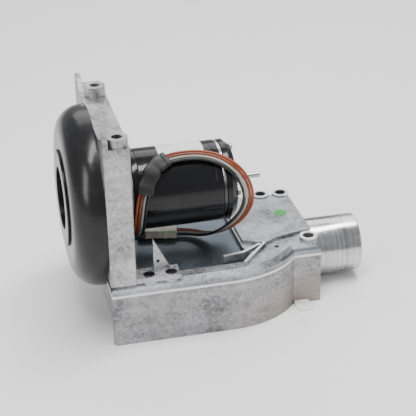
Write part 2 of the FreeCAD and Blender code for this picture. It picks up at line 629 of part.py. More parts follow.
# ---------------------------------------------------------------- impeller
def impeller():
    """Hub, back plate, backward-curved blades, shroud ring and the nut that holds them on the shaft."""
    plate_left = "-impeller_gap - plate_thick"
    blade_left = f"{plate_left} - blade_wide"
    disc = tube("back_plate_disc", "impeller_round", "hub_round", "plate_thick", plate_left)
    keep(disc, "impeller_back_plate")
    keep(tube("hub_tube", "hub_round", "shaft_round", "hub_long", "-impeller_gap - hub_long"), "impeller_hub")
    keep(tube("shroud_disc", "impeller_round", "blade_inner", "plate_thick", f"{blade_left} - plate_thick"),
         "impeller_shroud")
    inner = value("blade_inner + 1")
    outer = value("impeller_round - 0.5")
    thick = value("blade_thick")
    sweep = math.radians(38)
    start = Vector(0, inner, 0)
    end = Vector(0, outer * math.cos(sweep), outer * math.sin(sweep))
    chord = end - start
    bow = Vector(0, -chord.z, chord.y) * -0.13
    middle = (start + end) * 0.5 + bow
    curve = Part.Arc(start, middle, end).toShape()
    centre = curve.Curve.Center
    blades = []
    for index in range(14):
        grown = [centre + (point - centre) * (1 + thick / curve.Curve.Radius)
                 for point in (start, middle, end)]
        edges = [curve, Part.makeLine(end, grown[2]), Part.Arc(*grown).toShape(),
                 Part.makeLine(grown[0], start)]
        face = Part.Face(Part.Wire(Part.__sortEdges__(edges)))
        solid = face.extrude(Vector(-value("blade_wide"), 0, 0))
        solid.rotate(Vector(), Vector(1, 0, 0), 360 * index / 14)
        blades.append(solid)
    made = keep(doc.addObject("Part::Feature", "impeller_blades"), "impeller_blades")
    made.Shape = Part.makeCompound(blades)
    place(made, plate_left, "0", "axis_high")
    nut = doc.addObject("Part::Prism", "nut_prism")
    nut.Polygon = 6
    nut.setExpression("Circumradius", ref("nut_flat / 1.732051"))
    nut.setExpression("Height", ref("nut_thick"))
    nut.Placement = FreeCAD.Placement(Vector(), FreeCAD.Rotation(Vector(0, 0, 1), Vector(1, 0, 0)))
    place(nut, "-impeller_gap - hub_long - nut_thick", "0", "axis_high")
    bored = doc.addObject("Part::Cut", "nut_bored")
    bored.Base = nut
    bored.Tool = cylinder("nut_thread", "thread_round", "nut_thick", "-impeller_gap - hub_long - nut_thick",
                          "0", "axis_high", "X")
    keep(bored, "impeller_nut")


# ---------------------------------------------------------------- outlet, screws and small trim
def outlet_spigot():
    body = new_body("outlet_spigot", z="spigot_high")
    inner = "spigot_round - spigot_wall"
    left = "casing_long - end_wall"
    right = "casing_long + spigot_long"
    turned(body, "tube", [(left, inner), (left, SPIGOT_SEAT), ("casing_long", SPIGOT_SEAT),
                          ("casing_long", "spigot_round"), (f"{right} - spigot_chamfer", "spigot_round"),
                          (right, "spigot_round - spigot_chamfer"), (right, inner)])


def casing_screws():
    """Screws sunk in the cover's lugs, and the longer ones that also hold the frame's feet."""
    seat = f"{COVER_TOP} + plateau_high + lug_high - sink_deep"
    lugs = [screw(f"cover_screw_{number}", x, y, seat, "screw_round", f"{seat} - base_high + thread_deep - 2",
                  "head_round", "head_high", "Z") for number, (x, y) in enumerate(SCREWS_RIGHT)]
    keep(joined("Compound", "cover_screws_group", lugs), "cover_screws")
    seat = f"{COVER_TOP} + foot_high / 2"
    feet = [screw(f"frame_screw_{number}", x, y, seat, "screw_round", f"{seat} - base_high + thread_deep - 2",
                  "head_round", "head_high - 0.8", "Z") for number, (x, y) in enumerate(SCREWS_LEFT)]
    keep(joined("Compound", "frame_screws_group", feet), "frame_screws")


def foot_tab():
    """The flat white nylon tab at the foot of the nose: its stem sits in a slot in the wall."""
    body = new_body("foot_tab")
    stem = box_outline(sketch(body, "stem"), "casing_long - 22", "casing_long - 12.5", "-nose_front - 1",
                       "casing_wall - nose_front")
    pad(body, "stem_pad", stem, "tab_thick")
    pad_front = box_outline(sketch(body, "front"), "casing_long - 23.5", "casing_long - 10.5",
                            "-nose_front - tab_long", "-nose_front")
    pad(body, "front_pad", pad_front, "tab_thick")

    def front_corners(edge):
        box = edge.BoundBox
        return box.ZLength > 1 and abs(box.YMax + value("nose_front + tab_long")) < 1e-4
    round_edges(body, "corners", "3", front_corners)


def trim():
    """The motor's blank rating label, curved on the can, and the round inspection sticker on the cover."""
    body = new_body("rating_label", z="axis_high")
    turned(body, "sleeve", [("54", "motor_round"), ("54", "motor_round + 0.2"), ("92", "motor_round + 0.2"),
                            ("92", "motor_round")])
    body.Tip.Angle = 65
    body.Placement = FreeCAD.Placement(Vector(), FreeCAD.Rotation(Vector(1, 0, 0), -42))
    place(body, "0", "0", "axis_high")
    dot = cylinder("dot", "5.5", "0.3", "casing_long - 18", "13.5", f"{COVER_TOP} + plateau_high")
    keep(dot, "inspection_dot")


# ---------------------------------------------------------------- leads
# The middle of the bundle of leads, as (x, angle from the top towards the front, distance from the rotor's
# axis): out of the gland under the front bell, up and along the can, round its rear end and back underneath.
LEAD_ROUTE = [
    (32, 150, 37.6), (32, 127, 37.9), (32.5, 102, 37.6), (35, 78, 38.1), (40.5, 57, 38.3), (48.5, 39, 38.4),
    (60, 30, 38), (76, 28, 38.1), (91, 31, 37.8), (104, 41, 38.2), (115, 57, 38.4), (121.5, 77, 38.2),
    (122.5, 98, 38.4), (117.5, 119, 39), (109, 139, 41), (99, 157, 44.5), (90, 173, 47), (80, 185.5, 48.4),
    (70, 188, 48.5)]
LEADS = {"lead_brown": 1.5, "lead_brown_second": 0.5, "lead_white": -0.5, "lead_black": -1.5}


def beside(route, offset):
    """A route beside another: each point moved sideways over the motor's surface, outwards from the loop."""
    moved = []
    for index, (x, angle, radius) in enumerate(route):
        before, after = route[max(index - 1, 0)], route[min(index + 1, len(route) - 1)]
        along = after[0] - before[0]
        around = math.radians(after[1] - before[1]) * radius
        run = math.hypot(along, around)
        moved.append((x + offset * around / run, angle - math.degrees(offset * along / run / radius), radius))
    return moved


def route_point(x, angle, radius):
    turn_angle = math.radians(angle)
    return Vector(x, -radius * math.sin(turn_angle), radius * math.cos(turn_angle))


def rounded_path(points):
    """Straight runs joined by tangent arcs, each as large as the shorter of its two runs allows."""
    edges = []
    radii = []
    start = points[0]
    for before, corner, after in zip(points, points[1:], points[2:]):
        back, onward = before - corner, after - corner
        half_turn = (math.pi - back.getAngle(onward)) / 2
        reach = 0.45 * min(back.Length, onward.Length)
        radii.append(reach / math.tan(half_turn))
        arc_start = corner + back.normalize() * reach
        arc_end = corner + onward.normalize() * reach
        inward = (back + onward).normalize()
        middle = corner + inward * (radii[-1] / math.cos(half_turn) - radii[-1])
        edges += [Part.LineSegment(start, arc_start).toShape(),
                  Part.Arc(arc_start, middle, arc_end).toShape()]
        start = arc_end
    edges.append(Part.LineSegment(start, points[-1]).toShape())
    return Part.Wire(edges), radii


def run_frame(start, end, out):
    """The placement at a run's start with X along the run, Z as near as it can be to out, and Y across."""
    along = (end - start).normalize()
    out = (out - along * out.dot(along)).normalize()
    return FreeCAD.Placement(start, FreeCAD.Rotation(along, out.cross(along), out, "XZY"))


def lead_tubes():
    for label, offset in LEADS.items():
        points = [route_point(*point) for point in beside(LEAD_ROUTE, offset * value("lead_pitch"))]
        path, radii = rounded_path(points)
        section = Part.Wire(Part.makeCircle(value("lead_round"), points[0], points[1] - points[0]))
        made = keep(doc.addObject("Part::Feature", label), label)
        made.Shape = path.makePipeShell([section], True, False)
        place(made, "0", "0", "axis_high")
        expected = math.pi * value("lead_round") ** 2 * path.Length
        if abs(made.Shape.Volume / expected - 1) > 0.01:
            raise RuntimeError(f"{label} is not a plain tube")
        print(f"{label}: length {path.Length:.1f}, radii {min(radii):.1f} to {max(radii):.1f}")


def block(name, long, wide, high):
    """A Part box centred across and in height, which starts at its placement."""
    made = doc.addObject("Part::Box", name)
    for side, size in (("Length", long), ("Width", wide), ("Height", high)):
        made.setExpression(side, ref(size))
    made.setExpression("Placement.Base.y", ref(f"-({wide}) / 2"))
    made.setExpression("Placement.Base.z", ref(f"-({high}) / 2"))
    return made


def seat_on_run(item, index, share, back, level=False):
    """Sets a piece on a run of the bundle's route, at a share of the run, moved back along it."""
    start, end = route_point(*LEAD_ROUTE[index]), route_point(*LEAD_ROUTE[index + 1])
    item.Placement = run_frame(start, end, Vector(0, 0, -1) if level else Vector(0, start.y, start.z))
    spot = start + (end - start) * share - (end - start).normalize() * back
    return place(item, str(spot.x), str(spot.y), f"axis_high + {spot.z}")


def lead_holders():
    """The tie and the sleeve round the bundle, the gland that it leaves and the connector that it ends in."""
    hoops = {"cable_tie": ("tie_long", "hold_wall", [(5, 0.8)]),
             "lead_sleeve": ("sleeve_long", "sleeve_wall", [(3, 0.5), (4, 0.5), (5, 0.34)])}
    for label, (long, wall, seats) in hoops.items():
        turns = []
        for number, (index, share) in enumerate(seats):
            made = doc.addObject("Part::Cut", f"{label}_turn_{number}")
            made.Base = block(made.Name + "_outside", long,
                              f"hold_wide + 2 * {wall}", f"hold_high + 2 * {wall}")
            made.Tool = block(made.Name + "_inside", long, "hold_wide", "hold_high")
            turns.append(seat_on_run(made, index, share, value(long) / 2))
        keep(joined("Compound", label + "_turns", turns), label)
    gland = joined("Compound", "lead_gland", [block("gland_block", "gland_long", "gland_wide", "gland_high")])
    seat_on_run(keep(gland, "lead_gland"), 0, 0.0, value("gland_long"))
    plug = joined("Compound", "lead_connector", [block("plug_block", "plug_long", "plug_wide", "plug_high")])
    seat_on_run(keep(plug, "lead_connector"), len(LEAD_ROUTE) - 2, 1.0, 0.0, level=True)


casing_base()
cover_seal()
casing_cover()
frame()
impeller_shell()
shell_group()
motor_housing()
stator()
rotor()
bearing("front_bearing", "front_seat")
bearing("rear_bearing", "rear_seat")
impeller()
outlet_spigot()
casing_screws()
foot_tab()
trim()
lead_tubes()
lead_holders()

# ---------------------------------------------------------------- check and write
doc.recompute()
for item in doc.Objects:
    if "Invalid" in item.State or "Error" in item.State:
        raise RuntimeError(f"{item.Name} failed: {item.State}")
os.makedirs("parts", exist_ok=True)
for item in SUBPARTS:
    if item.Shape.isNull() or not item.Shape.isValid() or not item.Shape.Solids:
        raise RuntimeError(f"{item.Label} has no valid solid")
    item.Shape.exportStep(f"parts/{item.Label}.step")
    print(f"{item.Label}: {len(item.Shape.Solids)} solid(s), {item.Shape.Volume:.0f} mm3")
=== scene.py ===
"""Combustion fan: cast discharge box, upright frame, round impeller shell, motor and its leads.

Everything is in metres, in the fan's own frame: X along the rotor's axis towards the outlet, Z up.
"""

import json
import math

import bmesh
import bpy
import numpy as np
from mathutils import Matrix, Vector


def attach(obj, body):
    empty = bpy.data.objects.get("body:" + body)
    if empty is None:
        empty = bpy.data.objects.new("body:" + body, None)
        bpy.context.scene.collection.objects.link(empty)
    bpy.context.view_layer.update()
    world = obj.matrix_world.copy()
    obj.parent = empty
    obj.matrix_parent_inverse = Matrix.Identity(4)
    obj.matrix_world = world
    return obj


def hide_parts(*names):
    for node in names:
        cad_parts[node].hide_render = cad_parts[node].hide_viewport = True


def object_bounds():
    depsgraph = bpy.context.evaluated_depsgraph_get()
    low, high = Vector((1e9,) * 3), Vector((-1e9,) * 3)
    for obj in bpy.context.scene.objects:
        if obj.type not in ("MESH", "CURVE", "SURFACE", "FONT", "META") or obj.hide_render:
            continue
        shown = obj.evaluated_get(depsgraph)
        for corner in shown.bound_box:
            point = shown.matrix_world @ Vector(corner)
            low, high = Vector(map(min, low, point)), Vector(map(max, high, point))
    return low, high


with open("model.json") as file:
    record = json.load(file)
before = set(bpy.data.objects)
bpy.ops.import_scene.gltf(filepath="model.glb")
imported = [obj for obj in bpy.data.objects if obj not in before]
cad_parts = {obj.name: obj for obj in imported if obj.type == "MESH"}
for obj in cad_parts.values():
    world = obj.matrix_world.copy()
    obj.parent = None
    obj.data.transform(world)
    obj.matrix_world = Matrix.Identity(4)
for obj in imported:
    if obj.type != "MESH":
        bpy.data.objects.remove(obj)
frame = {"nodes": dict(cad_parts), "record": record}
cad_low, cad_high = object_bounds()
nodes = frame["nodes"]
MM = 0.001

# ---------------------------------------------------------------- camera
# The fan is seen from its front left and from above, with a long lens and a slight tilt. The eye's x is
# counted from the fan's left end.
eye = Vector((cad_low.x - 0.0966, -0.9942, 0.5762))
towards = Vector((0.1946, 0.8792, -0.4421)).normalized()
across = Vector((0.9781, -0.2054, -0.0333))
across = (across - towards * across.dot(towards)).normalized()
camera_data = bpy.data.cameras.new("camera")
camera_data.lens = 116
camera_data.sensor_width = 36
camera_data.clip_start = 0.05
camera_data.clip_end = 20
camera = bpy.data.objects.new("camera", camera_data)
camera.matrix_world = Matrix.Translation(eye) @ Matrix(
    (across, across.cross(towards), -towards)).transposed().to_4x4()
bpy.context.scene.collection.objects.link(camera)
bpy.context.scene.camera = camera


# ---------------------------------------------------------------- leads
# Four PVC leads, two brown, one white and one black, leave the gland under the motor's front bell side by
# side. They climb the can, run along it, loop round its rear end and come back underneath into a connector.
AXIS_HIGH = 102 * MM
SHELL_AND_RING = 27 * MM
LEFT_WALL = cad_low.x + SHELL_AND_RING
LEAD_ROUND = 1.2 * MM
LEAD_PITCH = 2.6
# The bundle's middle, as (x from the box's left wall, angle from the top towards the front, distance from the
# rotor's axis), in millimetres and degrees.
LEAD_ROUTE = [
    (32, 150, 37.6), (32, 127, 37.9), (32.5, 102, 37.6), (35, 78, 38.1), (40.5, 57, 38.3), (48.5, 39, 38.4),
    (60, 30, 38), (76, 28, 38.1), (91, 31, 37.8), (104, 41, 38.2), (115, 57, 38.4), (121.5, 77, 38.2),
    (122.5, 98, 38.4), (117.5, 119, 39), (109, 139, 41), (99, 157, 44.5), (90, 173, 47), (80, 185.5, 48.4),
    (70, 188, 48.5)]
# Each lead's place in the row, in pitches from its middle.
LEADS = {"lead_brown": 1.5, "lead_brown_second": 0.5, "lead_white": -0.5, "lead_black": -1.5}


def beside(route, offset):
    """A route beside another: each point moved sideways over the motor's surface, outwards from the loop."""
    moved = []
    for index, (x, angle, radius) in enumerate(route):
        before, after = route[max(index - 1, 0)], route[min(index + 1, len(route) - 1)]
        along = after[0] - before[0]
        around = math.radians(after[1] - before[1]) * radius
        run = math.hypot(along, around)
        turn = math.degrees(offset * along / run / radius)
        moved.append((x + offset * around / run, angle - turn, radius))
    return moved


def on_motor(x, angle, radius):
    """A point at (x, angle, radius) about the rotor's axis: x, -r sin(angle), axis + r cos(angle)."""
    turn = math.radians(angle)
    return Vector((LEFT_WALL + x * MM, -radius * math.sin(turn) * MM,
                   AXIS_HIGH + radius * math.cos(turn) * MM))


def cord_curve(name, points, radius):
    """One smooth spline with the route's points as its control points, as thick as the lead."""
    data = bpy.data.curves.new(name, "CURVE")
    data.dimensions = "3D"
    spline = data.splines.new("NURBS")
    spline.points.add(len(points) - 1)
    for spot, point in zip(spline.points, points):
        spot.co = (*point, 1)
    spline.order_u = 3
    spline.use_endpoint_u = True
    spline.resolution_u = 10
    data.bevel_depth = radius
    data.bevel_resolution = 5
    data.use_fill_caps = True
    made = bpy.data.objects.new(name, data)
    bpy.context.scene.collection.objects.link(made)
    return made


lead_objects = {}
for name, offset in LEADS.items():
    route = [on_motor(*point) for point in beside(LEAD_ROUTE, offset * LEAD_PITCH)]
    lead_objects[name] = cord_curve(name + "_wire", route, LEAD_ROUND)


# Shader maths for every finish below: a wrapped socket takes part in Python arithmetic, and a paint is one
# material with its Principled shader.
class Wire:
    """A node's output; arithmetic on it adds Math nodes."""

    def __init__(self, paint, socket):
        self.paint = paint
        self.socket = socket

    def math(self, operation, *values):
        """A Math node's result on these values."""
        return self.paint.node("ShaderNodeMath", {"operation": operation}, values)

    def __add__(self, other):
        return self.math("ADD", self, other)

    def __radd__(self, other):
        return self.math("ADD", other, self)

    def __sub__(self, other):
        return self.math("SUBTRACT", self, other)

    def __rsub__(self, other):
        return self.math("SUBTRACT", other, self)

    def __mul__(self, other):
        return self.math("MULTIPLY", self, other)

    def __rmul__(self, other):
        return self.math("MULTIPLY", other, self)

    def __pow__(self, other):
        return self.math("POWER", self, other)


class Paint:
    """A material whose nodes are added by calls; constants are set on the shader's own sockets."""

    def __init__(self, name, **constants):
        self.material = bpy.data.materials.new(name)
        self.material.use_nodes = True
        self.tree = self.material.node_tree
        self.shader = self.tree.nodes["Principled BSDF"]
        self.set(self.shader, {key.replace("_", " "): value for key, value in constants.items()})

    def set(self, node, values):
        """Links or sets a node's sockets, by name in a dict or by place in a list."""
        pairs = values.items() if isinstance(values, dict) else enumerate(values)
        for key, value in pairs:
            if isinstance(value, Wire):
                self.tree.links.new(value.socket, node.inputs[key])
            elif isinstance(value, tuple) and len(value) == 3 and node.inputs[key].type == "RGBA":
                node.inputs[key].default_value = (*value, 1)
            else:
                node.inputs[key].default_value = value

    def node(self, kind, settings=None, values=(), output=0):
        """Any node, with its settings made first and then its sockets set or linked."""
        made = self.tree.nodes.new(kind)
        for key, value in (settings or {}).items():
            if key == "stops":
                ramp = made.color_ramp
                while len(ramp.elements) < len(value):
                    ramp.elements.new(0.5)
                for element, (place, colour) in zip(ramp.elements, value):
                    element.position = place
                    element.color = (*colour, 1)
            else:
                setattr(made, key, value)
        self.set(made, values)
        return Wire(self, made.outputs[output])

    def place(self, scale=(1, 1, 1), move=(0, 0, 0), turn=(0, 0, 0)):
        """Object coordinates, moved, turned and scaled."""
        here = self.node("ShaderNodeTexCoord", output="Object")
        return self.node("ShaderNodeMapping", {}, {"Vector": here, "Location": move, "Rotation": turn,
                                                   "Scale": scale})

    def axes(self):
        """Object coordinates, one by one: x, y and z."""
        here = self.node("ShaderNodeTexCoord", output="Object")
        return [self.node("ShaderNodeSeparateXYZ", {}, [here], output) for output in range(3)]

    def noise(self, scale, detail=3, rough=0.55, at=None, warp=0):
        """Fractal noise at a scale, in Object coordinates unless others are given."""
        return self.node("ShaderNodeTexNoise", {}, {
            "Vector": at or self.place(), "Scale": scale, "Detail": detail, "Roughness": rough,
            "Distortion": warp})

    def spots(self, scale, at=None):
        """The distance to the nearest of scattered cell points."""
        return self.node("ShaderNodeTexVoronoi", {"feature": "F1"},
                         {"Vector": at or self.place(), "Scale": scale}, "Distance")

    def band(self, value, low, high, dark=0.0, light=1.0):
        """A smooth step of a value from dark at low to light at high."""
        return self.node("ShaderNodeMapRange", {"interpolation_type": "SMOOTHSTEP"},
                         [value, low, high, dark, light])

    def ramp(self, value, stops):
        """Colours along a value, from stops of (value, colour)."""
        return self.node("ShaderNodeValToRGB", {"stops": stops}, [value])

    def blend(self, factor, first, second):
        """A mix of two colours."""
        return self.node("ShaderNodeMix", {"data_type": "RGBA"}, {0: factor, 6: first, 7: second}, 2)

    def finish(self, height=None, depth=0.0002, strength=1.0, **sockets):
        """Feeds the shader, and its normal from a height in metres where one is given."""
        if height is not None:
            sockets["Normal"] = self.node("ShaderNodeBump", {}, {
                "Strength": strength, "Distance": depth, "Height": height})
        self.set(self.shader, {key.replace("_", " "): value for key, value in sockets.items()})
        return self.material


def dress(piece, material):
    """Gives every material slot of a piece one material."""
    if not piece.material_slots:
        piece.data.materials.append(material)
    for held in piece.material_slots:
        held.material = material
    return piece


def sleeve_material(name, colour, rough):
    """Extruded PVC: one colour with faint drag lines and finger marks."""
    paint = Paint(name, IOR=1.5)
    smear = paint.noise(60, 3)
    grain = paint.noise(900, 2)
    tone = paint.band(smear, 0.3, 0.7)
    dark = tuple(0.72 * part for part in colour)
    return paint.finish(height=grain, depth=0.00003, strength=0.5, Base_Color=paint.blend(tone, dark, colour),
                        Roughness=paint.band(smear, 0.35, 0.65, rough - 0.06, rough + 0.1))


LEAD_COLOURS = {"lead_brown": (0.3, 0.065, 0.018), "lead_brown_second": (0.22, 0.045, 0.014),
                "lead_white": (0.36, 0.345, 0.3), "lead_black": (0.012, 0.012, 0.013)}
slots = {entry["node"]: entry["material_slot"] for entry in frame["record"]["subparts"]}


def stands_for(made, node, material):
    """Puts a new piece in a CAD node's place on the fan's fixed body, with its finish."""
    dress(made, material)
    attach(made, "housing")
    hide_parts(node)
    return made


for name, wire in lead_objects.items():
    stands_for(wire, name, sleeve_material(name + "_pvc", LEAD_COLOURS[name], 0.34))


# ---------------------------------------------------------------- castings
# Box, cover and frame are pressure die cast in aluminium and left as cast: rounded edges, a slightly wavy
# matt skin, grey flow marks and darker stains where they were handled. The sunk deck is painted slate grey as
# painted shade and reflection of the motor; the box has a painted warm reflection low on its right, and the
# cover's lip and pad crest have painted highlights.
LIP_LOW, LIP_TOP = 44 * MM, 46.2 * MM
DECK_TOP, DECK_HALF = 50 * MM, 61 * MM
PAD_TOP = 56.5 * MM
SAME_POINT = 2e-6
FLAT_FACES = math.radians(0.6)
SHARP_EDGE = math.radians(32)


def softened(node, width, material, steps=2):
    """A copy of a CAD node with its triangles merged and its sharp edges rounded to a width in metres."""
    data = nodes[node].data.copy()
    work = bmesh.new()
    work.from_mesh(data)
    bmesh.ops.remove_doubles(work, verts=work.verts, dist=SAME_POINT)
    bmesh.ops.dissolve_limit(work, angle_limit=FLAT_FACES, verts=work.verts, edges=work.edges)
    work.to_mesh(data)
    work.free()
    data.shade_smooth()
    made = bpy.data.objects.new(node + "_body", data)
    bpy.context.scene.collection.objects.link(made)
    bevel = made.modifiers.new("rounding", "BEVEL")
    bevel.width = width
    bevel.segments = steps
    bevel.limit_method = "ANGLE"
    bevel.angle_limit = SHARP_EDGE
    bevel.miter_outer = "MITER_ARC"
    even = made.modifiers.new("even_normals", "WEIGHTED_NORMAL")
    even.keep_sharp = False
    return stands_for(made, node, material)


def casting_material(name, light, stain, painted_deck_shade=0.0, painted_warm_reflection=0.0, painted_edge_highlight=0.0, grit=0.6):
    """Cast aluminium: flow marks, speckle, pits and stains; painted shade on the deck, a painted warm
    reflection low on the right and painted highlights on the lip and pad crest.
    """
    paint = Paint(name, Metallic=1.0)
    x, y, z = paint.axes()
    broad = paint.noise(26, 4, 0.6, warp=0.6)
    streak = paint.noise(34, 4, 0.6, paint.place((1, 1, 3.2)), 0.4)
    fine = paint.noise(380, 4, 0.7)
    speckle = paint.band(paint.noise(900, 2, 0.6), 0.56, 0.68)
    pits = paint.spots(300)
    pale = tuple(min(1.0, 1.45 * part) for part in light)
    deep = tuple(0.42 * part for part in light)
    tone = paint.ramp(broad * 0.35 + streak * 0.25 + fine * 0.4, [(0.39, deep), (0.5, light), (0.6, pale)])
    colour = paint.blend(speckle * grit, tone, deep)
    marks = paint.band(paint.noise(48, 3, 0.7), 0.54, 0.72) * stain
    colour = paint.blend(marks, colour, (0.15, 0.14, 0.135))
    if painted_warm_reflection:
        # Painted reflection and shade: a darker warm brown low down towards the right, standing in for the
        # tan surface the box sits on.
        low_warm_reflection = paint.band(z, 12 * MM, 34 * MM, 1, 0) * paint.band(x, -20 * MM, 70 * MM) * painted_warm_reflection
        colour = paint.blend(low_warm_reflection, colour, (0.3, 0.22, 0.165))
    if painted_deck_shade:
        # Painted shade: the sunk deck under the motor is coloured dark slate, standing in for its shade and
        # the motor's dark reflection.
        level = paint.band(z, DECK_TOP - 1.3 * MM, DECK_TOP - 0.7 * MM)
        level = level * paint.band(z, DECK_TOP + 0.6 * MM, DECK_TOP + 1.6 * MM, 1, 0)
        inside = paint.band(y.math("ABSOLUTE", y), DECK_HALF - 1.2 * MM, DECK_HALF - 0.2 * MM, 1, 0)
        colour = paint.blend(level * inside * painted_deck_shade, colour, (0.13, 0.16, 0.19))
    if painted_edge_highlight:
        # Painted highlights: pale lines along the lip of the seam and the crest of the raised pad, where the
        # edges catch the light.
        lip_highlight = paint.band(z, LIP_LOW - 0.4 * MM, LIP_LOW)
        lip_highlight = lip_highlight * paint.band(z, LIP_TOP - 0.1 * MM, LIP_TOP + 0.4 * MM, 1, 0) * painted_edge_highlight
        pad_crest_highlight = paint.band(z, PAD_TOP + 0.2 * MM, PAD_TOP + 0.7 * MM) * painted_edge_highlight
        colour = paint.blend(lip_highlight + pad_crest_highlight, colour, (0.86, 0.86, 0.86))
    skin = broad * 0.35 + fine * 0.45 + paint.band(pits, 0.0, 0.25) * 0.2
    return paint.finish(height=skin, depth=0.0005, strength=0.75, Base_Color=colour,
                        Roughness=paint.band(fine * 0.5 + broad * 0.5, 0.35, 0.65, 0.36, 0.6))


# The box gets painted warm reflection and shade low on its right; the cover gets painted deck shade and
# painted highlights on its lip and pad crest.
box_skin = casting_material("cast_box_skin", (0.33, 0.33, 0.34), 0.5, painted_warm_reflection=0.55)
cover_skin = casting_material("cast_cover_skin", (0.38, 0.385, 0.4), 0.35, painted_deck_shade=0.92, painted_edge_highlight=0.75, grit=0.4)
frame_skin = casting_material("cast_frame_skin", (0.42, 0.42, 0.43), 0.3, grit=0.25)
softened("casing_base", 1.0 * MM, box_skin)
softened("casing_cover", 0.7 * MM, cover_skin)
softened("frame", 0.9 * MM, frame_skin)


# The pale sealing strip between the two castings is squeezed out a little and has picked up dust.
def rubber_material(name, colour, rough, dust):
    """Rubber or soft plastic: mottled, with pale dust in patches."""
    paint = Paint(name, IOR=1.48)
    mottle = paint.noise(140, 3)
    dusty = paint.band(paint.noise(45, 4, 0.7), 0.5, 0.7) * dust
    colour_now = paint.blend(mottle, tuple(0.7 * part for part in colour), colour)
    return paint.finish(height=paint.noise(700, 2), depth=0.00005, strength=0.6,
                        Base_Color=paint.blend(dusty, colour_now, (0.5, 0.48, 0.45)),
                        Roughness=paint.band(mottle, 0.3, 0.7, rough - 0.08, rough + 0.1))


dress(nodes["cover_seal"], rubber_material("seal_strip", (0.52, 0.52, 0.5), 0.6, 0.4))
dress(nodes["shaft_seal"], rubber_material("shaft_seal_rubber", (0.02, 0.02, 0.02), 0.6, 0.2))


# ---------------------------------------------------------------- impeller shell
# The round shell is deep drawn from steel sheet and dipped in black enamel: glossy, with a faint orange peel,
# drag lines round its shoulder and a little dust.
def enamel_material(name, colour, rough, dust, peel=260, around=0.0):
    """Gloss enamel over sheet: orange peel, faint turning lines round the axis, dust and rub marks."""
    paint = Paint(name, IOR=1.36, Coat_Roughness=0.05)
    x, y, z = paint.axes()
    rise = z - AXIS_HIGH
    reach = (y * y + rise * rise) ** 0.5
    rings = paint.noise(1, 3, 0.6, paint.node("ShaderNodeCombineXYZ", {}, [reach * 900, x * 900, 0]))
    orange = paint.noise(peel, 2, 0.5)
    dusty = paint.band(paint.noise(38, 5, 0.72), 0.5, 0.78) * dust
    rubbed = paint.band(paint.noise(90, 4, 0.75, warp=1.2), 0.6, 0.7) * 0.25
    base = paint.blend(dusty, colour, (0.16, 0.155, 0.15))
    return paint.finish(height=orange * 0.7 + rings * around, depth=0.00012, strength=0.4,
                        Base_Color=paint.blend(rubbed, base, tuple(1.8 * part for part in colour)),
                        Roughness=paint.band(dusty + rubbed, 0.0, 0.5, rough, rough + 0.22),
                        Coat_Weight=paint.band(dusty, 0.0, 0.4, 0.1, 0.03))


shell_enamel = enamel_material("shell_enamel", (0.009, 0.009, 0.010), 0.26, 0.05, around=0.35)
softened("impeller_shell", 0.5 * MM, shell_enamel, steps=3)
softened("inlet_ring", 0.6 * MM, shell_enamel, steps=3)


# ---------------------------------------------------------------- motor can, bands and rear bell
# The motor's sheet can has both ends rolled in and a lengthwise seam, and a plated band closes each end.
# Can and bands are turned about the rotor's axis from short profiles with rounded corners, and the
# bells are cast.
def rounded_profile(points, rounding):
    """Cuts each corner of a closed profile with a curve: p(t) = (1-t)^2 a + 2t(1-t) corner + t^2 b."""
    rounded = []
    t = np.linspace(0, 1, 4)[:, None]
    points = [np.array(point, float) for point in points]
    for before, corner, after in zip(points[-1:] + points[:-1], points, points[1:] + points[:1]):
        back, onward = before - corner, after - corner
        reach = min(rounding, 0.45 * np.linalg.norm(back), 0.45 * np.linalg.norm(onward))
        start = corner + back / np.linalg.norm(back) * reach
        end = corner + onward / np.linalg.norm(onward) * reach
        rounded.append((1 - t) ** 2 * start + 2 * t * (1 - t) * corner + t * t * end)
    return np.concatenate(rounded)


def skin(name, grids, sharp=38):
    """One mesh over grids of points: (points[i, j], closed along i); every grid closes along j.

    The face at (i, j) joins that point to its neighbours at (i, j+1), (i+1, j+1) and (i+1, j).
    """
    vertices = np.concatenate([points.reshape(-1, 3) for points, closed in grids])
    faces, first = [], 0
    for points, closed in grids:
        here = first + np.arange(points[..., 0].size).reshape(points.shape[:2])
        right = np.roll(here, -1, 1)
        quads = np.stack([here, right, np.roll(right, -1, 0), np.roll(here, -1, 0)], -1)
        faces.append((quads if closed else quads[:-1]).reshape(-1, 4))
        first += here.size
    data = bpy.data.meshes.new(name)
    data.from_pydata(vertices.tolist(), [], np.concatenate(faces).tolist())
    work = bmesh.new()
    work.from_mesh(data)
    bmesh.ops.remove_doubles(work, verts=work.verts, dist=1e-7)
    bmesh.ops.recalc_face_normals(work, faces=work.faces)
    work.to_mesh(data)
    work.free()
    data.shade_smooth()
    data.set_sharp_from_angle(angle=math.radians(sharp))
    made = bpy.data.objects.new(name, data)
    bpy.context.scene.collection.objects.link(made)
    return made


def turned_grid(profile, columns=144, dent=None):
    """A profile of (x, radius) in millimetres turned about the rotor's axis: (x, -r sin, axis + r cos)."""
    angles = np.linspace(0, 2 * np.pi, columns, endpoint=False)
    x = profile[:, 0][:, None] + 0 * angles
    radius = profile[:, 1][:, None] + 0 * angles
    if dent is not None:
        radius = radius + dent(radius, angles)
    return np.stack([LEFT_WALL + x * MM, -radius * np.sin(angles) * MM,
                     AXIS_HIGH + radius * np.cos(angles) * MM], -1)


# The motor's radii and the ends of its parts along the axis, in millimetres.
MOTOR_ROUND, MOTOR_BORE = 34, 31.5
BAND_LONG = 3
BAND_LEFT, CAN_LEFT, CAN_RIGHT, BELL_RIGHT = 26.5, 29.5, 103.5, 115.5
GROOVES = (CAN_LEFT + 5, CAN_RIGHT - 6)
SEAM_DEEP, SEAM_WIDE, SEAM_ANGLE = 0.3, 0.012, math.radians(-150)


